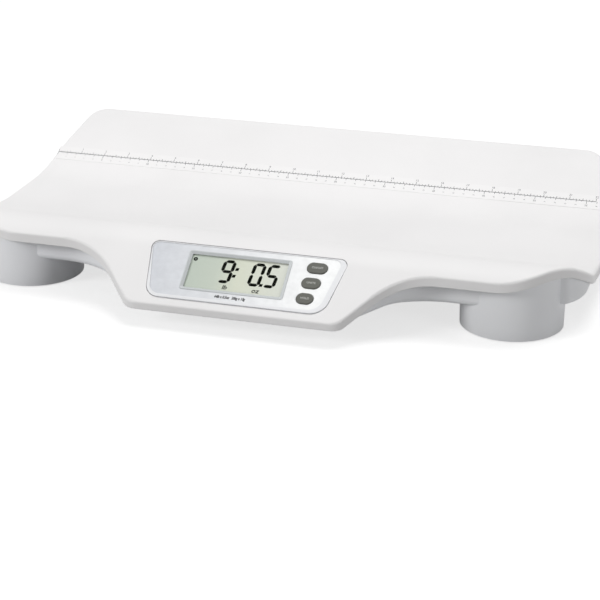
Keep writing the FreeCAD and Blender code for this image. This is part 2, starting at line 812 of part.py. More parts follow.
def lcd_bezel():
    """A frame round the display whose inner faces slope down to the window."""
    frame = prism(pane_wire(), -bezel_depth, panel_lip)
    top = window_wire(bezel_width - bezel_land, bezel_corner_radius - bezel_land)
    bottom = window_wire(0, window_corner_radius)
    top.translate(Vector(0, 0, panel_lip + 0.01))
    bottom.translate(Vector(0, 0, -bezel_depth - 0.01))
    return on_panel(frame.cut(Part.makeLoft([bottom, top], True, True)))


def display_window():
    """The clear window under the bezel."""
    return on_panel(prism(pane_wire(), pane_bottom, -bezel_depth))


def lcd_glass():
    """The display glass, just under the window."""
    return on_panel(prism(window_wire(glass_margin, glass_corner_radius), glass_bottom, glass_top))


def lcd_holder():
    """The frame that carries the display glass on the board."""
    outside = window_wire(glass_margin + holder_wall, holder_corner_radius)
    pocket = window_wire(glass_margin + holder_play, glass_corner_radius + holder_play)
    frame = prism(outside, board_top, glass_bottom + holder_grip).cut(prism(pocket, glass_bottom, 0))
    frame = frame.cut(prism(window_wire(-holder_ledge, window_corner_radius), board_top - 1, 0))
    for side in (-1, 1):
        frame = frame.cut(zebra_strip(side, zebra_play))
    return on_panel(frame)


def zebra_strip(side, growth):
    """The contact strip along one long edge of the display glass, or with growth its channel."""
    v = window_v + side * window_height / 2
    length = window_width - 2 * holder_ledge
    strip = rounded_rectangle(length + 2 * growth, zebra_width + 2 * growth, 0.4, (window_u, v))
    return prism(strip, board_top, glass_bottom)


def zebra_strips():
    """Two elastic contact strips between the board and the glass."""
    return on_panel(Part.makeCompound([zebra_strip(side, 0) for side in (-1, 1)]))


board_screw_u = board_width / 2 - board_screw_inset
board_post_places = [(side * board_screw_u, v) for side in (-1, 1) for v in board_screw_v]


def main_board():
    """The circuit board, screwed to four posts behind the panel."""
    board = prism(rounded_rectangle(board_width, board_height, 2, (0, window_v)), board_bottom, board_top)
    for u, v in board_post_places:
        board = board.cut(cylinder(u, v, board_bottom - 1, board_top + 1, shank_room))
    return on_panel(board)


def board_parts():
    """The controller, its memory, a crystal, the plug for the cells' wires and a filter can."""
    parts = []
    for place, width, height, radius, depth in (controller, memory_chip, crystal, wire_plug):
        outline_wire = rounded_rectangle(width, height, radius, place)
        parts.append(prism(outline_wire, board_bottom - depth, board_bottom))
    can_bottom = board_bottom - filter_can_height
    parts.append(cylinder(*filter_can_place, can_bottom, board_bottom, filter_can_radius))
    return on_panel(Part.makeCompound(parts))


def board_screws():
    """Four screws that hold the board to the tray's posts."""
    screws = []
    for u, v in board_post_places:
        screws.append(screw(u, v, board_bottom - head_height, board_thick + board_screw_grip))
    return on_panel(Part.makeCompound(screws))


# ---------------------------------------------------------------- push buttons
collar_bottom = plate_bottom + button_travel + button_rest_gap
collar_top = collar_bottom + button_collar_thickness
plunger_top = board_top + switch_height + switch_plunger
stem_bottom = plunger_top + button_travel + button_rest_gap


def push_button(place):
    """An oval key cap with a rounded face, a collar that stops it and a stem down to its switch."""
    u, v, width = place
    cap = key_hole(width, 0, collar_bottom, button_proud, (u, v))
    rim = [edge for edge in cap.Edges if abs(edge.BoundBox.ZMin - button_proud) < 1e-6]
    cap = cap.makeFillet(button_rounding, rim)
    collar = key_hole(width, button_collar, collar_bottom, collar_top - button_rest_gap, (u, v))
    stem = cylinder(u, v, stem_bottom, collar_bottom, stem_radius)
    return on_panel(cap.fuse(collar).fuse(stem).removeSplitter())


def key_switches():
    """Three small switches on the board, one under each button."""
    switches = []
    for u, v, _ in button_places.values():
        body_top = board_top + switch_height
        body = prism(rounded_rectangle(switch_size, switch_size, 0.5, (u, v)), board_top, body_top)
        switches.append(body.fuse(cylinder(u, v, body_top, plunger_top, plunger_radius)))
    return on_panel(Part.makeCompound(switches))


# ---------------------------------------------------------------- batteries
cell_pair_length = 2 * (aa_length + aa_button_length) + contact_spring_length
box_inner_x = cell_pair_length + 2 * contact_thickness
box_inner_y = battery_rows * (aa_diameter + cell_clearance)
box_top = housing_floor + aa_diameter + cell_clearance
door_x = box_inner_x
door_y = box_inner_y


def row_y(row):
    """The middle line of one row of cells."""
    return battery_y + (row - (battery_rows - 1) / 2) * (aa_diameter + cell_clearance)


def door_pins(growth):
    """The door's two hinge pins, or with growth the sockets that they turn in."""
    length = door_x + 2 * (door_pin_length + growth)
    start = Vector(-length / 2, door_hinge_y, door_hinge_z)
    return Part.makeCylinder(door_pin_radius + growth, length, start, Vector(1, 0, 0))


def battery_opening():
    """The hole in the housing's underside that the cells go in through, with the door's sockets."""
    width = door_x + 2 * door_clearance
    depth = door_y + 2 * door_clearance
    wire = rounded_rectangle(width, depth, door_corner_radius, (0, battery_y))
    return prism(wire, 0, housing_floor + 1).fuse(door_pins(door_pin_clearance))


def battery_box():
    """The compartment over the opening: four walls and a roof."""
    outer_x = box_inner_x + 2 * battery_wall
    outer_y = box_inner_y + 2 * battery_wall
    outer = rounded_rectangle(outer_x, outer_y, box_corner_radius, (0, battery_y))
    inner = rounded_rectangle(box_inner_x, box_inner_y, box_inner_radius, (0, battery_y))
    return prism(outer, housing_floor, box_top + battery_wall).cut(prism(inner, housing_floor - 1, box_top))


def aa_cell(row, column):
    """One cell lying along X, with its raised contact towards the middle contact plate."""
    z = housing_floor + aa_diameter / 2
    start_x = -box_inner_x / 2 + contact_thickness + column * (aa_length + aa_button_length)
    if row % 2:
        start_x = box_inner_x / 2 - contact_thickness - column * (aa_length + aa_button_length)
    sign = -1 if row % 2 else 1
    axis = Vector(sign, 0, 0)
    start = Vector(start_x + sign * contact_spring_length, row_y(row), z)
    can = Part.makeCylinder(aa_diameter / 2, aa_length, start, axis)
    can = can.makeFillet(aa_edge_rounding, can.Edges[:1] + can.Edges[2:])
    tip = Part.makeCylinder(aa_button_radius, aa_button_length, start + axis * aa_length, axis)
    return can.fuse(tip)


def battery_contacts():
    """Four plates in the ends of the compartment: flat for the tips, with coned springs for the cans."""
    pieces = []
    z = housing_floor + aa_diameter / 2
    for row in range(battery_rows):
        sign = -1 if row % 2 else 1
        for end in (-1, 1):
            face_x = end * (box_inner_x / 2 - contact_thickness)
            low_x = min(face_x, face_x + end * contact_thickness)
            corner = Vector(low_x, row_y(row) - contact_size / 2, z - contact_size / 2)
            plate = Part.makeBox(contact_thickness, contact_size, contact_size, corner)
            if end == -sign:
                plate = plate.fuse(contact_spring(Vector(face_x, row_y(row), z), Vector(-end, 0, 0)))
            pieces.append(plate)
    return Part.makeCompound(pieces)


def contact_spring(base, axis):
    """A hollow cone in the shape of the compressed spring."""
    cone = Part.makeCone(spring_base_radius, spring_tip_radius, contact_spring_length, base, axis)
    core_base = spring_base_radius - spring_wire
    core_tip = spring_tip_radius - spring_wire
    return cone.cut(Part.makeCone(core_base, core_tip, contact_spring_length, base, axis))


door_hinge_y = battery_y - door_y / 2 + door_thickness / 2
door_hinge_z = housing_bottom + door_thickness / 2


def battery_door():
    """The lid of the compartment, with a rounded hinge edge, two pins, and a grip by its snap finger."""
    back_edge_y = battery_y + door_y / 2
    corner = Vector(-door_x / 2, door_hinge_y, housing_bottom)
    plate = Part.makeBox(door_x, back_edge_y - door_hinge_y, door_thickness, corner)
    uprights = [edge for edge in plate.Edges if edge.BoundBox.ZLength > door_thickness / 2]
    back_corners = [edge for edge in uprights if edge.BoundBox.YMin > battery_y]
    plate = plate.makeFillet(door_corner_radius, back_corners)
    knuckle_start = Vector(-door_x / 2, door_hinge_y, door_hinge_z)
    knuckle = Part.makeCylinder(door_thickness / 2, door_x, knuckle_start, Vector(1, 0, 0))
    door = plate.fuse(knuckle).fuse(door_pins(0))
    for index in range(grip_lines):
        x = (index - (grip_lines - 1) / 2) * grip_pitch - grip_width / 2
        corner = Vector(x, back_edge_y - grip_length - 3, housing_bottom)
        door = door.cut(Part.makeBox(grip_width, grip_length, grip_depth, corner))
    finger_corner = Vector(-finger_width / 2, back_edge_y - finger_setback - finger_thickness, door_hinge_z)
    finger = Part.makeBox(finger_width, finger_thickness, finger_height, finger_corner)
    return door.fuse(finger).removeSplitter()


def ruler_strip():
    """The measuring strip that lies on the back wall along the valley."""
    depth = strip_width * math.cos(math.radians(wall_slope))
    zone = Part.makeBox(strip_length, depth, far, Vector(-strip_length / 2, strip_y - depth / 2, -far / 2))
    return band(-strip_glue - strip_thickness, -strip_glue).common(zone)


# ---------------------------------------------------------------- writing the parts
def save(name, shape):
    if not shape.isValid():
        print("NOT VALID", name)
    shape.exportStep(os.path.join("parts", name + ".step"))
    print(name, len(shape.Solids), "solids", round(shape.Volume), "mm3")


def main():
    os.makedirs("parts", exist_ok=True)
    save("tray_shell", tray_shell())
    save("base_housing", base_housing())
    save("ruler_strip", ruler_strip())
    save("control_plate", control_plate())
    save("panel_overlay", panel_overlay())
    save("lcd_bezel", lcd_bezel())
    save("display_window", display_window())
    save("lcd_glass", lcd_glass())
    save("lcd_holder", lcd_holder())
    save("zebra_strips", zebra_strips())
    save("main_board", main_board())
    save("board_parts", board_parts())
    save("board_screws", board_screws())
    save("key_switches", key_switches())
    for name, place in button_places.items():
        save(name, push_button(place))
    save("battery_box", battery_box())
    save("battery_contacts", battery_contacts())
    save("battery_door", battery_door())
    for row in range(battery_rows):
        for column in range(2):
            save("aa_cell_%d" % (row * 2 + column + 1), aa_cell(row, column))
    for corner, (x, y) in tower_places.items():
        save("cell_carrier_" + corner, cell_carrier(x, y))
        save("load_cell_" + corner, load_cell(x, y))
        save("foot_cap_" + corner, foot_cap(x, y))
        save("rubber_foot_" + corner, rubber_foot(x, y))
    save("cell_screws", cell_screws())
    save("tray_screws", tray_screws())


main()
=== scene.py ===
# %% [markdown]
# # A digital baby scale
#
# The scale's solids come from an engineering model and are already exact, so nothing here
# changes a shape. This lesson gives every solid its real finish, adds the thin things that an
# engineering model leaves out (the digits, the print on the panel, the marks of the measuring
# strip), and sets the whole on a pale floor under soft light. Blender counts in metres. What is
# printed on the panel and the strip is drawn in millimetres and scaled when it is placed.

import json
import math

import bmesh
import bpy
from mathutils import Matrix, Vector
from mathutils.bvhtree import BVHTree


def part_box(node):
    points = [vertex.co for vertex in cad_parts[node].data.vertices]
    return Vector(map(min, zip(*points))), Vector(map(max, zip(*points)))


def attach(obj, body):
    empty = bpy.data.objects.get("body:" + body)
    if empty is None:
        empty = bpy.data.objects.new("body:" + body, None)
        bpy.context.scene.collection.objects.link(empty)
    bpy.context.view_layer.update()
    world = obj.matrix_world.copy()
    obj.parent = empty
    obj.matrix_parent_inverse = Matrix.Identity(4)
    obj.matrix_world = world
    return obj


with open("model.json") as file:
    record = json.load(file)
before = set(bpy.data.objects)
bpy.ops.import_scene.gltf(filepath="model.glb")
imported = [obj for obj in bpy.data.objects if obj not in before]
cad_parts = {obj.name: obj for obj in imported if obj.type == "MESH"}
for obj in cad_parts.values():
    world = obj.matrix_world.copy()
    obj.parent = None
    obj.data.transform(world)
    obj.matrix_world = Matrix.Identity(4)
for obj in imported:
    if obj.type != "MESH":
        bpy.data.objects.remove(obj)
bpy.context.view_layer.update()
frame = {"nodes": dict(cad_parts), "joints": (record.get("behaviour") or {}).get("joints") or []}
mm = 0.001

# %% [markdown]
# ## The camera
#
# A long, low object shows best from a little above, through a long lens from a distance, so that
# its two ends stay nearly parallel. A camera could be set by a position and three turns. Here it
# is set by the point that it looks at, two angles and a distance, which are easier to adjust.
# The Standard view shows colours as they are, so that a white surface in full light is white.

# %% Camera
aim = Vector((5.17, 17.68, -40.64)) * mm
azimuth = math.radians(16.67)
elevation = math.radians(22.0)
distance = 1839.77 * mm
lens_mm = 114.0
sensor_mm = 36.0
furthest = 50.0

back = Vector((
    math.sin(azimuth) * math.cos(elevation),
    -math.cos(azimuth) * math.cos(elevation),
    math.sin(elevation),
))
camera_data = bpy.data.cameras.new("camera")
camera_data.lens = lens_mm
camera_data.sensor_width = sensor_mm
camera_data.clip_end = furthest
camera = bpy.data.objects.new("camera", camera_data)
bpy.context.scene.collection.objects.link(camera)
camera.location = aim + back * distance
camera.rotation_euler = back.to_track_quat("Z", "Y").to_euler()
bpy.context.scene.camera = camera
bpy.context.scene.view_settings.view_transform = "Standard"
print("camera at", [round(value, 3) for value in camera.location])

# %% [markdown]
# ## Colours
#
# A colour picked on a screen is an sRGB value, while the renderer counts light. Each colour could
# be worked out by hand. It is safer to write them all as hex values and to let one function turn
# them to linear.

# %% Colours
def to_light(part):
    """The share of full light that one sRGB part, from 0 to 1, stands for."""
    return part / 12.92 if part <= 0.04045 else ((part + 0.055) / 1.055) ** 2.4


def linear(hex_colour):
    """An sRGB colour such as "e8e8e8" as linear red, green, blue and a full alpha."""
    return [to_light(int(hex_colour[place:place + 2], 16) / 255) for place in (0, 2, 4)] + [1.0]


print("half-way grey on a screen is", round(linear("808080")[0], 3), "of full light")

# %% [markdown]
# ## Nodes
#
# Materials could be put together by hand in the node editor. Built in code, with one small
# function that adds a node together with its settings and links, a recipe stays as short as a
# list and can be used again with other numbers. Patterns are given by a real size: a noise of
# scale 1 has features about a metre across, so its scale is one over the size in metres.

# %% Nodes
def add(tree, kind, values=None, links=None, **settings):
    """Adds a node: settings are its properties, values and links go to its input sockets."""
    node = tree.nodes.new(kind)
    for name, value in settings.items():
        setattr(node, name, value)
    for name, value in (values or {}).items():
        node.inputs[name].default_value = value
    for name, socket in (links or {}).items():
        tree.links.new(socket, node.inputs[name])
    return node


def set_stops(ramp, *stops):
    """Gives a colour ramp its stops, from low to high, each a position and an sRGB colour."""
    first, *between, last = stops
    elements = ramp.color_ramp.elements
    for index, (position, colour) in enumerate((first, last)):
        elements[index].position = position
        elements[index].color = linear(colour)
    for position, colour in between:
        elements.new(position).color = linear(colour)


def new_material(name):
    """An empty material and its node tree."""
    material = bpy.data.materials.new(name)
    material.use_nodes = True
    material.node_tree.nodes.clear()
    return material, material.node_tree


def per_metre(millimetres):
    """The scale of a noise whose features are this many millimetres across."""
    return 1.0 / (millimetres * mm)


print("a pattern of 0.5 mm has the scale", per_metre(0.5))

# %% [markdown]
# ## Moulded plastic
#
# Nearly all of the scale is injection-moulded ABS. The steel mould is spark-eroded, which leaves
# a fine, even grain that softens the gloss. A single colour would look like a drawing, so three
# noises tell the plastic's story: a fine one for the grain, as bump; a broad one that shifts the
# colour by a hair, as thick plastic does; and a middle one that varies the roughness, where
# hands have rubbed the part. The real grain is about 0.1 mm, too fine to show, so it is drawn
# several times coarser.

# %% A recipe for moulded plastic
drift_mm = 140              # how far apart the colour's shifts lie
patch_mm = 35               # size of a rubbed patch


def moulded_plastic(name, colour, shade, roughness, grain_mm=0.7, grain_depth_mm=0.02,
                    rubbed=0.06, gloss=0.5):
    """Spark-eroded ABS: two close colours, a grain in the bump and hand-rubbed patches."""
    material, tree = new_material(name)
    place = add(tree, "ShaderNodeTexCoord").outputs["Object"]
    drift = add(tree, "ShaderNodeTexNoise", {"Scale": per_metre(drift_mm), "Detail": 2.0}, {"Vector": place})
    patch = add(tree, "ShaderNodeTexNoise", {"Scale": per_metre(patch_mm), "Detail": 3.0}, {"Vector": place})
    grain = add(tree, "ShaderNodeTexNoise", {"Scale": per_metre(grain_mm), "Detail": 2.0}, {"Vector": place})
    tint = add(tree, "ShaderNodeValToRGB", links={"Fac": drift.outputs["Fac"]})
    set_stops(tint, (0.3, shade), (0.6, colour))
    rub = add(tree, "ShaderNodeMapRange", {
        "From Min": 0.35,
        "From Max": 0.7,
        "To Min": roughness - rubbed,
        "To Max": roughness + rubbed,
    }, {"Value": patch.outputs["Fac"]})
    bump = add(tree, "ShaderNodeBump", {"Strength": 0.6, "Distance": grain_depth_mm * mm},
               {"Height": grain.outputs["Fac"]})
    shader = add(tree, "ShaderNodeBsdfPrincipled", {"IOR": 1.52, "Specular IOR Level": gloss}, {
        "Base Color": tint.outputs["Color"],
        "Roughness": rub.outputs["Result"],
        "Normal": bump.outputs["Normal"],
    })
    add(tree, "ShaderNodeOutputMaterial", links={"Surface": shader.outputs[0]})
    return material


def dress(material, *names):
    """Puts a material on solids of the loaded model and says so."""
    for name in names:
        for slot in frame["nodes"][name].material_slots:
            slot.material = material
    print(material.name, "on", ", ".join(names))


def at_corners(stem):
    """The names of the four solids, one per foot, that start with this stem."""
    return [stem + corner for corner in ("front_left", "front_right", "rear_left", "rear_right")]


print("at the feet:", ", ".join(at_corners("rubber_foot_")))

# %% [markdown]
# ## Tray, housing and the plain inner mouldings
#
# The tray is satin white, polished a little for easy wiping. The housing under it has a cooler
# white and a duller grain, and so have the feet that carry it. What nobody sees, the carriers of
# the weighing cells and the display's holder, is unpolished plain plastic. They share one
# recipe, because the process is the same and only resin, pigment and mould finish differ.

# %% Tray, housing, feet and inner mouldings
tray_white = moulded_plastic("satin_white_abs", "f2f1f1", "edecec", 0.52, gloss=0.3)
dress(tray_white, "tray_shell")
housing_grey = moulded_plastic("pale_grey_abs", "f3f4f6", "eeeff2", 0.5, rubbed=0.04, gloss=0.4)
dress(housing_grey, "base_housing", "battery_box", "battery_door")
foot_grey = moulded_plastic("foot_abs", "ebecee", "e6e7e9", 0.55, rubbed=0.03)
dress(foot_grey, *at_corners("foot_cap_"))
inner_white = moulded_plastic("plain_inner_abs", "dddddb", "d6d6d3", 0.45, rubbed=0.02)
dress(inner_white, "lcd_holder", *at_corners("cell_carrier_"))

# %% [markdown]
# ## Rubber, button caps and the display's bezel
#
# The feet stand in soft rubber with a talc-dull skin, the key caps are dark grey ABS with a fine
# matt grain, and the bezel is satin ABS a little greyer than the plate that carries the panel's
# film. The elastic contacts between board and display are silicone in thin layers. Rubber could
# have a recipe of its own. It is moulded too, and differs only by a much rougher skin and a
# deeper grain, so the same recipe serves it.

# %% Rubber, caps, bezel and plate
foot_rubber = moulded_plastic("soft_grey_rubber", "b6b7b9", "a9aaac", 0.82, grain_mm=1.2,
                              grain_depth_mm=0.06, rubbed=0.04)
dress(foot_rubber, *at_corners("rubber_foot_"))
cap_grey = moulded_plastic("dark_key_abs", "55564f", "4a4b46", 0.5, grain_mm=0.5, rubbed=0.05)
dress(cap_grey, "button_on", "button_unit", "button_hold")
bezel_grey = moulded_plastic("satin_bezel_abs", "cdd1d2", "c5c9ca", 0.38, grain_mm=0.5, rubbed=0.03)
dress(bezel_grey, "lcd_bezel")
silver_plate = moulded_plastic("pearl_plate_abs", "eeeff1", "e9eaec", 0.34, grain_mm=0.4, rubbed=0.03)
dress(silver_plate, "control_plate")
contact_silicone = moulded_plastic("layered_silicone", "d79a9a", "8c5b5b", 0.7, grain_mm=0.3, rubbed=0.02)
dress(contact_silicone, "zebra_strips")

# %% [markdown]
# ## The panel's printed film
#
# The film is clear polycarbonate printed on its back with silver ink. Light goes through a glossy
# surface, meets tiny flakes and comes back a little cloudy, so the film looks like pearl. A ramp
# along the panel turns the film from cool silver at the left to near white at the right. That is
# partly the print's own fade and partly a painted sheen where the light catches the panel. A
# noise of a few millimetres gives the clouds. A second, clear surface could be modelled over the
# ink; the shader's own coat does the same without one. The flakes are far finer than a
# millimetre and are drawn coarser, so that they show.

# %% Film
# The ramp runs from the darker silver print at the left to a painted sheen, near white, at the right.
silver_and_sheen_left, silver_and_sheen_right = -90 * mm, 70 * mm       # where the silver starts and has faded
cloud_mm = 9
flake_mm = 0.6

film, tree = new_material("silver_print_and_painted_sheen_film")
place = add(tree, "ShaderNodeTexCoord").outputs["Object"]
along = add(tree, "ShaderNodeSeparateXYZ", links={"Vector": place})
clouds = add(tree, "ShaderNodeTexNoise", {"Scale": per_metre(cloud_mm), "Detail": 4.0, "Roughness": 0.6},
             {"Vector": place})
flakes = add(tree, "ShaderNodeTexVoronoi", {"Scale": per_metre(flake_mm)}, {"Vector": place})
share = add(tree, "ShaderNodeMapRange", {"From Min": silver_and_sheen_left, "From Max": silver_and_sheen_right},
            {"Value": along.outputs["X"]})
# Partly printed silver and partly painted sheen: the near-white right end stands in for light on the panel.
ramp = add(tree, "ShaderNodeValToRGB", links={"Fac": share.outputs["Result"]})
set_stops(ramp, (0.0, "d0d3d9"), (0.45, "e0e2e5"), (1.0, "fbfcfc"))
cloud_tone = add(tree, "ShaderNodeMapRange",
                 {"From Min": 0.3, "From Max": 0.7, "To Min": 0.93, "To Max": 1.05},
                 {"Value": clouds.outputs["Fac"]})
clouded = add(tree, "ShaderNodeVectorMath", operation="MULTIPLY",
              links={0: ramp.outputs["Color"], 1: cloud_tone.outputs["Result"]})
sparkle = add(tree, "ShaderNodeMapRange", {"From Max": 1.0, "To Min": 0.3, "To Max": 0.42},
              {"Value": flakes.outputs["Distance"]})
shader = add(tree, "ShaderNodeBsdfPrincipled",
             {"IOR": 1.58, "Metallic": 0.05, "Coat Weight": 0.6, "Coat Roughness": 0.12},
             {"Base Color": clouded.outputs["Vector"], "Roughness": sparkle.outputs["Result"]})
add(tree, "ShaderNodeOutputMaterial", links={"Surface": shader.outputs[0]})
dress(film, "panel_overlay")

# %% [markdown]
# ## The display's glass
#
# A liquid-crystal display is two thin glass plates on a reflective polariser. Unlit, it is a dull
# grey-green mirror. Its colour runs from a darker, cool grey-green at one end to a brighter,
# warm yellow-green at the other. The plates could be glass over a mirror, but the polariser
# scatters so much that a ramp of colours with a fine noise in its roughness looks the same and
# renders cleanly.

# %% Display glass
glass_left, glass_right = -50 * mm, 38 * mm     # the coolest and the warmest end
crystal_mm = 0.5

display, tree = new_material("liquid_crystal_display")
place = add(tree, "ShaderNodeTexCoord").outputs["Object"]
along = add(tree, "ShaderNodeSeparateXYZ", links={"Vector": place})
share = add(tree, "ShaderNodeMapRange", {"From Min": glass_left, "From Max": glass_right},
            {"Value": along.outputs["X"]})
ramp = add(tree, "ShaderNodeValToRGB", links={"Fac": share.outputs["Result"]})
set_stops(ramp, (0.0, "d2ddd0"), (0.3, "dbe4d6"), (0.55, "eff3e0"), (1.0, "f2f5ea"))
crystals = add(tree, "ShaderNodeTexNoise", {"Scale": per_metre(crystal_mm), "Detail": 1.0}, {"Vector": place})
dull = add(tree, "ShaderNodeMapRange", {"To Min": 0.22, "To Max": 0.34}, {"Value": crystals.outputs["Fac"]})
shader = add(tree, "ShaderNodeBsdfPrincipled", {"IOR": 1.5},
             {"Base Color": ramp.outputs["Color"], "Roughness": dull.outputs["Result"]})
add(tree, "ShaderNodeOutputMaterial", links={"Surface": shader.outputs[0]})
dress(display, "lcd_glass")

# %% [markdown]
# ## The display's window
#
# A clear acrylic pane covers the display. Real refraction through it would need many samples and
# would shade the digits, so the pane is nearly see-through by its alpha, and only its gloss stays.
# Wiping leaves a faint, uneven haze, which a noise of about a centimetre brings into the gloss.

# %% Window
wipe_mm = 12

window, tree = new_material("clear_acrylic_window")
place = add(tree, "ShaderNodeTexCoord").outputs["Object"]
wipes = add(tree, "ShaderNodeTexNoise", {"Scale": per_metre(wipe_mm), "Detail": 4.0}, {"Vector": place})
haze = add(tree, "ShaderNodeMapRange", {"To Min": 0.03, "To Max": 0.12}, {"Value": wipes.outputs["Fac"]})
shader = add(tree, "ShaderNodeBsdfPrincipled", {"Base Color": linear("20241f"), "IOR": 1.49, "Alpha": 0.05},
             {"Roughness": haze.outputs["Result"]})
add(tree, "ShaderNodeOutputMaterial", links={"Surface": shader.outputs[0]})
dress(window, "display_window")

# %% [markdown]
# ## Metals
#
# Screws are zinc-plated steel, the battery contacts nickel-plated spring steel, the weighing
# cells bright blanked steel. Drawn or rolled metal has fine lines along one direction. They could
# be a wave pattern, which looks too regular; a noise stretched forty times along X is both fine
# and uneven. The lines tint the metal and vary its polish.

# %% Metals
stretch = 40
polish_range = 0.08


def rolled_metal(name, colour, dark, roughness, line_mm=0.15):
    """Metal with rolling lines along X."""
    material, tree = new_material(name)
    place = add(tree, "ShaderNodeTexCoord").outputs["Object"]
    stretched = add(tree, "ShaderNodeMapping", {"Scale": (1 / stretch, 1.0, 1.0)}, {"Vector": place})
    lines = add(tree, "ShaderNodeTexNoise", {"Scale": per_metre(line_mm), "Detail": 2.0},
                {"Vector": stretched.outputs["Vector"]})
    tone = add(tree, "ShaderNodeValToRGB", links={"Fac": lines.outputs["Fac"]})
    set_stops(tone, (0.0, dark), (1.0, colour))
    polish = add(tree, "ShaderNodeMapRange", {
        "To Min": roughness - polish_range,
        "To Max": roughness + polish_range,
    }, {"Value": lines.outputs["Fac"]})
    shader = add(tree, "ShaderNodeBsdfPrincipled", {"Metallic": 1.0},
                 {"Base Color": tone.outputs["Color"], "Roughness": polish.outputs["Result"]})
    add(tree, "ShaderNodeOutputMaterial", links={"Surface": shader.outputs[0]})
    return material


zinc = rolled_metal("zinc_plated_screw", "c9ccd0", "a6aab0", 0.32)
dress(zinc, "board_screws", "cell_screws", "tray_screws")
nickel = rolled_metal("nickel_spring_steel", "d8d6d0", "bdbab2", 0.22)
dress(nickel, "battery_contacts")
cell_steel = rolled_metal("bright_cell_steel", "b9bcc0", "989ca1", 0.3, line_mm=0.3)
dress(cell_steel, *at_corners("load_cell_"))

# %% [markdown]
# ## The board and its chips
#
# The board is glass-fibre laminate under green lacquer. Copper tracks show through the lacquer
# as slightly lighter lines. Nobody traces a circuit by eye, so a brick pattern, whose joints are
# the tracks, stands for the real routing. Chips and switches are black epoxy, a moulding again.

# %% Board and chips
track_pitch_mm = 6

board_green, tree = new_material("green_laminate_board")
place = add(tree, "ShaderNodeTexCoord").outputs["Object"]
tracks = add(tree, "ShaderNodeTexBrick", {
    "Scale": per_metre(track_pitch_mm),
    "Mortar Size": 0.03,
    "Color1": linear("1e5a34"),
    "Color2": linear("216238"),
    "Mortar": linear("3a8a55"),
}, {"Vector": place})
shader = add(tree, "ShaderNodeBsdfPrincipled", {"Roughness": 0.35, "IOR": 1.5},
             {"Base Color": tracks.outputs["Color"]})
add(tree, "ShaderNodeOutputMaterial", links={"Surface": shader.outputs[0]})
dress(board_green, "main_board")
epoxy = moulded_plastic("black_epoxy", "2b2b2d", "202022", 0.45, grain_mm=0.4, rubbed=0.05)
dress(epoxy, "board_parts", "key_switches")

# %% [markdown]
# ## The battery cells
#
# An AA cell is a steel can in a shrunk plastic jacket: dark along most of its length, copper
# coloured near the positive end, with bare steel at that end. Four cells could have four
# materials, but they lie end to end in two rows, so one material serves them all: the place
# along the row, counted in cell lengths, has a fraction that says how far along its own cell a
# point lies. The second row points the other way, so there the place is mirrored.

# %% Cell jackets
copper_from = 0.7           # share of the cell's length
steel_from = 0.965
scuff_mm = 4
first_low, first_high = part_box("aa_cell_1")
second_row_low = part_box("aa_cell_3")[0]
cell_length = first_high[0] - first_low[0]
between_rows = (first_high[1] + second_row_low[1]) / 2

jacket, tree = new_material("shrunk_cell_jacket")
place = add(tree, "ShaderNodeTexCoord").outputs["Object"]
parts = add(tree, "ShaderNodeSeparateXYZ", links={"Vector": place})
second_row = add(tree, "ShaderNodeMath", {1: between_rows}, {0: parts.outputs["Y"]},
                 operation="GREATER_THAN")
direction = add(tree, "ShaderNodeMath", {1: -2.0, 2: 1.0}, {0: second_row.outputs[0]},
                operation="MULTIPLY_ADD")
along = add(tree, "ShaderNodeMath", operation="MULTIPLY",
            links={0: parts.outputs["X"], 1: direction.outputs[0]})
from_end = add(tree, "ShaderNodeMath", {1: first_high[0]}, {0: along.outputs[0]}, operation="SUBTRACT")
in_cells = add(tree, "ShaderNodeMath", {1: cell_length}, {0: from_end.outputs[0]}, operation="DIVIDE")
share = add(tree, "ShaderNodeMath", links={0: in_cells.outputs[0]}, operation="FRACT")
tone = add(tree, "ShaderNodeValToRGB", links={"Fac": share.outputs[0]})
tone.color_ramp.interpolation = "CONSTANT"
set_stops(tone, (0.0, "1d1e22"), (copper_from, "b5793f"), (steel_from, "c9cacc"))
bare = add(tree, "ShaderNodeMath", {1: steel_from}, {0: share.outputs[0]}, operation="GREATER_THAN")
scuffs = add(tree, "ShaderNodeTexNoise", {"Scale": per_metre(scuff_mm), "Detail": 3.0}, {"Vector": place})
gloss = add(tree, "ShaderNodeMapRange", {"To Min": 0.2, "To Max": 0.36}, {"Value": scuffs.outputs["Fac"]})
shader = add(tree, "ShaderNodeBsdfPrincipled", {"IOR": 1.5}, {
    "Base Color": tone.outputs["Color"],
    "Metallic": bare.outputs[0],
    "Roughness": gloss.outputs["Result"],
})
add(tree, "ShaderNodeOutputMaterial", links={"Surface": shader.outputs[0]})
dress(jacket, "aa_cell_1", "aa_cell_2", "aa_cell_3", "aa_cell_4")
print("cell length", round(cell_length / mm, 2), "mm")

# %% [markdown]
# ## The measuring strip's film
#
# The strip is white vinyl under a matt laminate, close to the tray's own tone. The laminate has
# a wide, shallow ripple, like any film laid by hand, where the mouldings have a fine grain. The
# recipe for plastic gives that with a coarser and shallower grain.

# %% Strip film
strip_film = moulded_plastic("white_vinyl_film", "f4f3f3", "f0efef", 0.5, grain_mm=1.5,
                             grain_depth_mm=0.01, rubbed=0.03, gloss=0.3)
dress(strip_film, "ruler_strip")

# %% [markdown]
# ## Working on the sloping panel
#
# Print and digits could be modelled in their place on the slope, but they are easiest to draw
# flat, with u to the right and v up the panel, in millimetres. One matrix then carries them onto
# the slope. The slope comes from the direction in which the buttons move, which is square to the
# panel, and the levels say how far each face lies above or below the film's face.

# %% The panel's own plane
panel_middle = Vector((0.0, -148.6, 44.74)) * mm
ink_lift = 0.03             # keeps print clear of the face that carries it
film_level = ink_lift
cap_level = 1.1 + ink_lift
digit_level = -2.1 + 0.04   # just above the display's glass

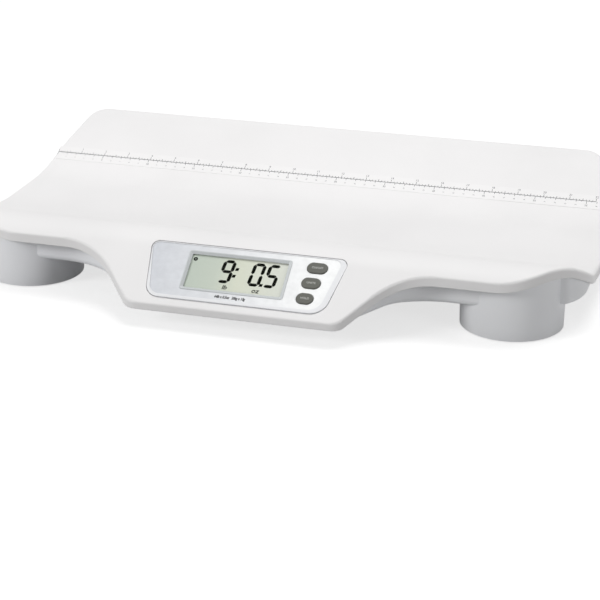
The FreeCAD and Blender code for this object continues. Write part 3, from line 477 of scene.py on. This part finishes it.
press = [joint for joint in frame["joints"] if joint["name"] == "button_on_press"][0]
slope = math.atan2(press["axis"][1], -press["axis"][2])
to_panel = Matrix.Translation(panel_middle) @ Matrix.Rotation(slope, 4, "X") @ Matrix.Scale(mm, 4)


def leaning(amount):
    """A matrix that shears a flat drawing to the right by this much of its height."""
    shear = Matrix.Identity(4)
    shear[0][1] = amount
    return shear


def piece_from(bm, name, material, body):
    """Makes an object at the origin from a bmesh and says what carries it."""
    mesh = bpy.data.meshes.new(name)
    bm.to_mesh(mesh)
    bm.free()
    mesh.materials.append(material)
    made = bpy.data.objects.new(name, mesh)
    bpy.context.scene.collection.objects.link(made)
    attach(made, body)
    print(name, "has", len(mesh.polygons), "faces")


low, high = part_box("panel_overlay")
print("panel slope", round(math.degrees(slope), 2), "degrees")
print("film from", [round(value, 4) for value in low], "to", [round(value, 4) for value in high])

# %% [markdown]
# ## Inks
#
# Printed ink is pigment in a thin layer of lacquer. One flat colour would look like a hole in
# the surface. Under a lens the ink's coverage is uneven, so a fine noise lets the tone wander a
# little. The display's digits are not ink but darkened crystal, which has no gloss of its own.

# %% Inks
cover_mm = 0.8


def ink(name, colour, worn, roughness, gloss=0.5):
    """A thin printed layer whose tone wanders a little."""
    material, tree = new_material(name)
    place = add(tree, "ShaderNodeTexCoord").outputs["Object"]
    cover = add(tree, "ShaderNodeTexNoise", {"Scale": per_metre(cover_mm), "Detail": 3.0}, {"Vector": place})
    tone = add(tree, "ShaderNodeValToRGB", links={"Fac": cover.outputs["Fac"]})
    set_stops(tone, (0.35, worn), (0.6, colour))
    shader = add(tree, "ShaderNodeBsdfPrincipled",
                 {"Roughness": roughness, "Specular IOR Level": gloss},
                 {"Base Color": tone.outputs["Color"]})
    add(tree, "ShaderNodeOutputMaterial", links={"Surface": shader.outputs[0]})
    return material


crystal_black = ink("dark_crystal", "0b0d0b", "14160f", 0.6, gloss=0.0)
panel_ink = ink("black_panel_ink", "1c1c1e", "2a2a2c", 0.5)
cap_ink = ink("pale_cap_ink", "c9cac6", "aeafaa", 0.6)
strip_ink = ink("grey_strip_ink", "505256", "5e6064", 0.6, gloss=0.2)
print("inks:", [made.name for made in (crystal_black, panel_ink, cap_ink, strip_ink)])

# %% [markdown]
# ## Seven-segment digits
#
# A digit on such a display is seven bars with pointed ends that never quite touch. Each bar could
# be six typed corners. A hexagon whose two halves are pulled apart is the same bar, so each
# starts as a six-sided circle. Such a circle has a corner at +Y: a quarter turn lays its corners
# on the bar's line, and a stretch makes them square, so that two bars meet like the sides of a
# frame. The whole digit leans to the right by one shear.

# %% Bars and digits
segment_width = 3.1
segment_gap = 0.2           # from the end of a bar to the corner that it points at
digit_width = 8.7           # between the middles of the upright bars
digit_height = 21.4         # between the middles of the top and bottom bars
digit_lean = 0.09
digit_foot = -5.3           # v of the bottom bar
mitred = Matrix.Diagonal((math.sqrt(3), 1, 1, 1)) @ Matrix.Rotation(math.radians(90), 4, "Z")
segment_ends = {
    "a": ((0, 1), (1, 1)), "b": ((1, 1), (1, 0.5)), "c": ((1, 0.5), (1, 0)), "d": ((0, 0), (1, 0)),
    "e": ((0, 0.5), (0, 0)), "f": ((0, 1), (0, 0.5)), "g": ((0, 0.5), (1, 0.5)),
}
lit = {"9": "abcdfg", "0": "abcdef", "5": "acdfg"}


def bar(bm, start, end, width):
    """A flat bar with pointed ends from start to end."""
    run = end - start
    half = run.length / 2 - width - segment_gap
    made = bmesh.ops.create_circle(bm, cap_ends=True, segments=6, radius=width / math.sqrt(3),
                                   matrix=mitred)["verts"]
    bmesh.ops.translate(bm, verts=[vert for vert in made if vert.co.x > 0], vec=(half, 0, 0))
    bmesh.ops.translate(bm, verts=[vert for vert in made if vert.co.x < 0], vec=(-half, 0, 0))
    turn = Matrix.Rotation(math.atan2(run.y, run.x), 4, "Z")
    bmesh.ops.transform(bm, verts=made, matrix=Matrix.Translation((start + end) / 2) @ turn)
    return made


def digit(bm, figure, middle_u):
    """One lit figure, with its segments leaning to the right."""
    points = []
    for letter in lit[figure]:
        start, end = [Vector((x * digit_width, y * digit_height, 0)) for x, y in segment_ends[letter]]
        points += bar(bm, start, end, segment_width)
    left = middle_u - digit_width / 2 - digit_lean * digit_height / 2
    place = Matrix.Translation((left, digit_foot, 0))
    bmesh.ops.transform(bm, verts=points, matrix=place @ leaning(digit_lean))


print("segments lit:", sum(len(letters) for letters in lit.values()))

# %% [markdown]
# ## The reading
#
# The display shows a steady reading: the figures, a colon between the two units, a decimal point
# and a small ring that says the weight no longer changes. A text object would give rounded
# letters, so all of it is drawn from the bars, leaning squares and one inset circle. A hair of
# thickness makes each sign a closed body, as darkened crystal is.

# %% The lit display
drawing_depth = 0.02
dot_size = 3.0
dot_lean = 2 * digit_lean
figures = (("9", -13.8), ("0", 13.9), ("5", 27.8))
dots = ((-5.1, 8.8), (-6.4, 1.5), (20.0, -4.9))
ring_middle = (-45.4, 15.2)
ring_radius = 1.95
ring_width = 1.4


def ring(bm, middle, radius, width):
    """The small sign that the reading is steady."""
    place = Matrix.Translation((*middle, 0))
    outer = bmesh.ops.create_circle(bm, cap_ends=True, segments=32, radius=radius, matrix=place)["verts"]
    face = outer[0].link_faces[0]
    bmesh.ops.inset_region(bm, faces=[face], thickness=width, use_boundary=True, use_even_offset=True)
    bmesh.ops.delete(bm, geom=[face], context="FACES")


def dot(bm, middle, size):
    """A small leaning square."""
    made = bmesh.ops.create_grid(bm, x_segments=1, y_segments=1, size=size / 2)["verts"]
    place = Matrix.Translation((*middle, 0))
    bmesh.ops.transform(bm, verts=made, matrix=place @ leaning(dot_lean))


def thicken(bm, matrix, depth):
    """Gives a flat drawing a little thickness upwards and carries it to its place."""
    grown = bmesh.ops.extrude_face_region(bm, geom=list(bm.faces))["geom"]
    top = [item for item in grown if isinstance(item, bmesh.types.BMVert)]
    bmesh.ops.translate(bm, verts=top, vec=(0, 0, depth))
    bmesh.ops.recalc_face_normals(bm, faces=bm.faces)
    bmesh.ops.transform(bm, verts=bm.verts, matrix=matrix)


bm = bmesh.new()
ring(bm, ring_middle, ring_radius, ring_width)
for figure, middle_u in figures:
    digit(bm, figure, middle_u)
for middle in dots:
    dot(bm, middle, dot_size)
thicken(bm, to_panel @ Matrix.Translation((0, 0, digit_level)), drawing_depth)
piece_from(bm, "display_digits", crystal_black, "scale")

# %% [markdown]
# ## Lettering
#
# The panel carries plain words and numbers: the two units, the names of the three keys and the
# capacity. Drawing letters by hand would be slow. A text object sets them well, and it becomes a
# mesh before it is placed, so that the piece keeps its place in its mesh like all the others.

# %% Lettering
capital = 0.7               # height of a capital letter in a font of size 1


def lettering(words, height, wide=1.0, bold=0.0):
    """A flat mesh of the words, in millimetres, centred on their middle, as a bmesh."""
    curve = bpy.data.curves.new("words", "FONT")
    curve.body = words
    curve.align_x = "CENTER"
    curve.align_y = "CENTER"
    curve.resolution_u = 3
    curve.offset = bold
    holder = bpy.data.objects.new("words", curve)
    bpy.context.scene.collection.objects.link(holder)
    bpy.context.view_layer.update()
    flat = bpy.data.meshes.new_from_object(holder.evaluated_get(bpy.context.evaluated_depsgraph_get()))
    bpy.data.objects.remove(holder)
    bpy.data.curves.remove(curve)
    bm = bmesh.new()
    bm.from_mesh(flat)
    bpy.data.meshes.remove(flat)
    scale = Matrix.Diagonal((height / capital * wide, height / capital, 1, 1))
    bmesh.ops.transform(bm, verts=bm.verts, matrix=scale)
    return bm


def print_on_panel(name, words, middle, height, level, material, body, slot,
                   wide=1.0, slant=0.0, bold=0.0):
    """Prints words flat on the panel at one level."""
    bm = lettering(words, height, wide, bold)
    place = to_panel @ Matrix.Translation((*middle, level))
    bmesh.ops.transform(bm, verts=bm.verts, matrix=place @ leaning(slant))
    piece_from(bm, name, material, body)


print("a capital is", capital, "of the font's size")

# %% [markdown]
# ## The words on the panel
#
# The unit signs belong to the display and darken with it. The capacity is screen-printed under
# the display, narrow and slanted. The keys' names are pad-printed on the caps, and each rides
# on its own button, or it would float in the air when the key is pressed.

# %% Words
word_slant = 0.15
units = (("unit_lb", "lb", (-11.6, -11.1), 4.3), ("unit_oz", "oz", (16.7, -11.4), 4.6))
capacity = ("capacity_line", "44lb x 0.5oz   20kg x 10g", (-3.5, -22.5), 2.6)
key_words = (
    ("button_on", "ON/OFF", (66.8, 17.4)),
    ("button_unit", "UNITS", (64.8, 1.4)),
    ("button_hold", "HOLD", (62.9, -14.8)),
)
key_word_height = 2.0

for name, words, middle, height in units:
    print_on_panel(name, words, middle, height, digit_level + drawing_depth, crystal_black,
                   "scale", "display_glass", wide=1.05, slant=word_slant, bold=0.016)
print_on_panel(*capacity, film_level, panel_ink,
               "scale", "panel_film", wide=0.74, slant=word_slant, bold=0.05)
for body, words, middle in key_words:
    print_on_panel(body + "_word", words, middle, key_word_height, cap_level, cap_ink,
                   body, "button_dark", bold=0.01)

# %% [markdown]
# ## Drawing on the measuring strip
#
# The strip lies on a wall that slopes and then curves into the valley, so a drawing made on one
# plane would leave it. Everything is drawn flat, seen from above, and then each point is dropped
# onto the strip's face by a ray. Lengths up the slope are shortened by the slope's cosine first,
# so that they are right on the wall.

# %% Onto the strip
wall_slope = 33.0
wall_cosine = math.cos(math.radians(wall_slope))
ray_height = 1.0
strip_low, strip_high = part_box("ruler_strip")
strip_tree = BVHTree.FromObject(frame["nodes"]["ruler_strip"], bpy.context.evaluated_depsgraph_get())


def drop_on_strip(bm):
    """Scales millimetres to metres and lowers every point onto the strip's face."""
    bmesh.ops.transform(bm, verts=bm.verts, matrix=Matrix.Scale(mm, 4))
    missed = 0
    for vert in bm.verts:
        above = Vector((vert.co.x, vert.co.y, ray_height))
        hit = strip_tree.ray_cast(above, Vector((0, 0, -1)))[0]
        if hit is None:
            missed += 1
            continue
        vert.co.z = hit.z + ink_lift * mm
    print("points beside the strip:", missed)


print("strip length", round((strip_high[0] - strip_low[0]) / mm, 1), "mm")

# %% [markdown]
# ## Ticks
#
# The strip has inches above its base line and centimetres below it, and each scale has three
# lengths of tick. A picture of a ruler would need an image; each tick is a tiny grid instead,
# with a few rows, so that it can bend over the curve.

# %% Ticks
inch = 25.4
centimetre = 10
zero_x = -287.7
base_y = 121.4
base_width = 0.5
inch_tick_width = 0.42
centimetre_tick_width = 0.38
long_tick = 3.7
half_inch_tick = 2.6
eighth_inch_tick = 1.5
centimetre_tick = 2.2
half_centimetre_tick = 1.2


def rule(bm, x, y, width, height):
    """A thin upright line, seen from above, from y up or down by height."""
    made = bmesh.ops.create_grid(bm, x_segments=1, y_segments=3, size=0.5)["verts"]
    place = Matrix.Translation((x, y + height / 2, 0)) @ Matrix.Diagonal((width, abs(height), 1, 1))
    bmesh.ops.transform(bm, verts=made, matrix=place)


inches = int((strip_high[0] - strip_low[0]) / mm / inch)
centimetres = int((strip_high[0] - strip_low[0]) / mm / centimetre)
bm = bmesh.new()
for step in range(inches * 8 + 1):
    length = long_tick if step % 8 == 0 else half_inch_tick if step % 4 == 0 else eighth_inch_tick
    rule(bm, zero_x + step * inch / 8, base_y, inch_tick_width, length * wall_cosine)
for step in range(centimetres * 2 + 1):
    length = long_tick if step % 10 == 0 else centimetre_tick if step % 2 == 0 else half_centimetre_tick
    rule(bm, zero_x + step * centimetre / 2, base_y, centimetre_tick_width, -length * wall_cosine)
base = bmesh.ops.create_grid(bm, x_segments=40, y_segments=1, size=0.5)["verts"]
base_place = Matrix.Translation((zero_x + inches * inch / 2, base_y, 0))
bmesh.ops.transform(bm, verts=base, matrix=base_place @ Matrix.Diagonal((inches * inch, base_width, 1, 1)))
drop_on_strip(bm)
piece_from(bm, "strip_marks", strip_ink, "scale")

# %% [markdown]
# ## Numbers
#
# Every inch and every centimetre has its number, and every fifth centimetre a larger one. Nearly
# eighty text objects would be as many pieces to look after, so they are collected in one mesh.

# %% Numbers
inch_number = 2.3           # heights of the numbers
fifth_number = 2.1
small_number = 1.3
inch_number_shift = 0.4     # right of the tick
above_base = 4.6
below_base = 4.8

numbers = bmesh.new()
holder_mesh = bpy.data.meshes.new("numbers")


def stamp(number, x, y, height):
    """Adds a number to the strip's print, foreshortened as seen from above."""
    bm = lettering(str(number), height)
    place = Matrix.Translation((x, y, 0)) @ Matrix.Diagonal((1, wall_cosine, 1, 1))
    bmesh.ops.transform(bm, verts=bm.verts, matrix=place)
    bm.to_mesh(holder_mesh)
    bm.free()
    numbers.from_mesh(holder_mesh)


for step in range(1, inches + 1):
    stamp(step, zero_x + step * inch + inch_number_shift, base_y + above_base, inch_number)
for step in range(1, centimetres):
    height = fifth_number if step % 5 == 0 else small_number
    stamp(step, zero_x + step * centimetre, base_y - below_base, height)
bpy.data.meshes.remove(holder_mesh)
drop_on_strip(numbers)
piece_from(numbers, "strip_numbers", strip_ink, "scale")
print("numbers:", inches + centimetres - 1)

# %% [markdown]
# ## The floor
#
# The floor is plain and pale. More light would turn it white, but it would bleach the scale too.
# So the floor glows a little for whatever looks at it directly or through a gloss: it turns fully
# white where nothing shades it, and the soft shadow under the scale stays. The light that it
# throws on the object comes from its plain grey alone. It lies a tenth of a millimetre low, so
# that the feet and the floor never share a plane.

# %% Floor
floor_half = 1.4
floor_drop = 0.1 * mm
floor_glow = 0.7


def looked_at(tree):
    """A socket that is 1 for the camera's rays and for those in gloss or glass, and 0 for light."""
    rays = add(tree, "ShaderNodeLightPath").outputs
    seen = add(tree, "ShaderNodeMath", links={0: rays["Is Camera Ray"], 1: rays["Is Glossy Ray"]},
               operation="MAXIMUM")
    return add(tree, "ShaderNodeMath", links={0: seen.outputs[0], 1: rays["Is Transmission Ray"]},
               operation="MAXIMUM").outputs[0]


floor_bm = bmesh.new()
bmesh.ops.create_grid(floor_bm, x_segments=1, y_segments=1, size=floor_half)
bmesh.ops.translate(floor_bm, verts=floor_bm.verts, vec=(0, 0, -floor_drop))
floor_mesh = bpy.data.meshes.new("floor")
floor_bm.to_mesh(floor_mesh)
floor_bm.free()
floor = bpy.data.objects.new("floor", floor_mesh)
bpy.context.scene.collection.objects.link(floor)

paper, tree = new_material("white_paper")
glow = add(tree, "ShaderNodeMath", {1: floor_glow}, {0: looked_at(tree)}, operation="MULTIPLY")
matt = add(tree, "ShaderNodeBsdfDiffuse", {"Color": linear("afafaf")})
light = add(tree, "ShaderNodeEmission", {"Color": linear("ffffff")}, {"Strength": glow.outputs[0]})
both = add(tree, "ShaderNodeAddShader", links={0: matt.outputs[0], 1: light.outputs[0]})
add(tree, "ShaderNodeOutputMaterial", links={"Surface": both.outputs[0]})
floor_mesh.materials.append(paper)
print("floor", round(2 * floor_half, 2), "m wide")

# %% [markdown]
# ## The world
#
# Beyond the floor there is only the world. It shows white to whatever looks at it and lights the
# object with a fifth of that, which fills the shadows without flattening them.

# %% World
sky_fill = 0.2
sky_white = 1.0

world = bpy.data.worlds.new("studio")
bpy.context.scene.world = world
world.use_nodes = True
tree = world.node_tree
tree.nodes.clear()
level = add(tree, "ShaderNodeMapRange", {"To Min": sky_fill, "To Max": sky_white}, {"Value": looked_at(tree)})
sky = add(tree, "ShaderNodeBackground", {"Color": linear("ffffff")}, {"Strength": level.outputs["Result"]})
add(tree, "ShaderNodeOutputWorld", links={"Surface": sky.outputs[0]})
print("world nodes:", len(tree.nodes))

# %% [markdown]
# ## The lamps
#
# Sunlight would be even but hard. Square lamps give soft shadows. The key lamp hangs high over
# the scale. It lights tray and panel alike and leaves the upright faces darker, which is what
# shows the rim and the towers. It stands clear of the place that the sloping display mirrors, or
# the digits would turn grey. A low lamp at the front left reaches under the rim and gives the
# towers their round shading, and a weak one at the right keeps their far sides open.

# %% Lamps
def soft_lamp(name, direction, reach, size, power):
    """A square lamp that faces the origin from this direction and this far away."""
    data = bpy.data.lights.new(name, "AREA")
    data.shape = "SQUARE"
    data.size = size
    data.energy = power
    lamp = bpy.data.objects.new(name, data)
    bpy.context.scene.collection.objects.link(lamp)
    lamp.location = Vector(direction) * reach
    lamp.rotation_euler = lamp.location.to_track_quat("Z", "Y").to_euler()
    print(name, "lamp at", [round(value, 2) for value in lamp.location])


soft_lamp("key", (0.12, 0.17, 0.98), 4.0, 2.4, 96.0)
soft_lamp("front", (-0.70, -0.60, 0.38), 3.0, 0.9, 37.0)
soft_lamp("side", (0.86, -0.42, 0.28), 3.0, 0.9, 12.0)
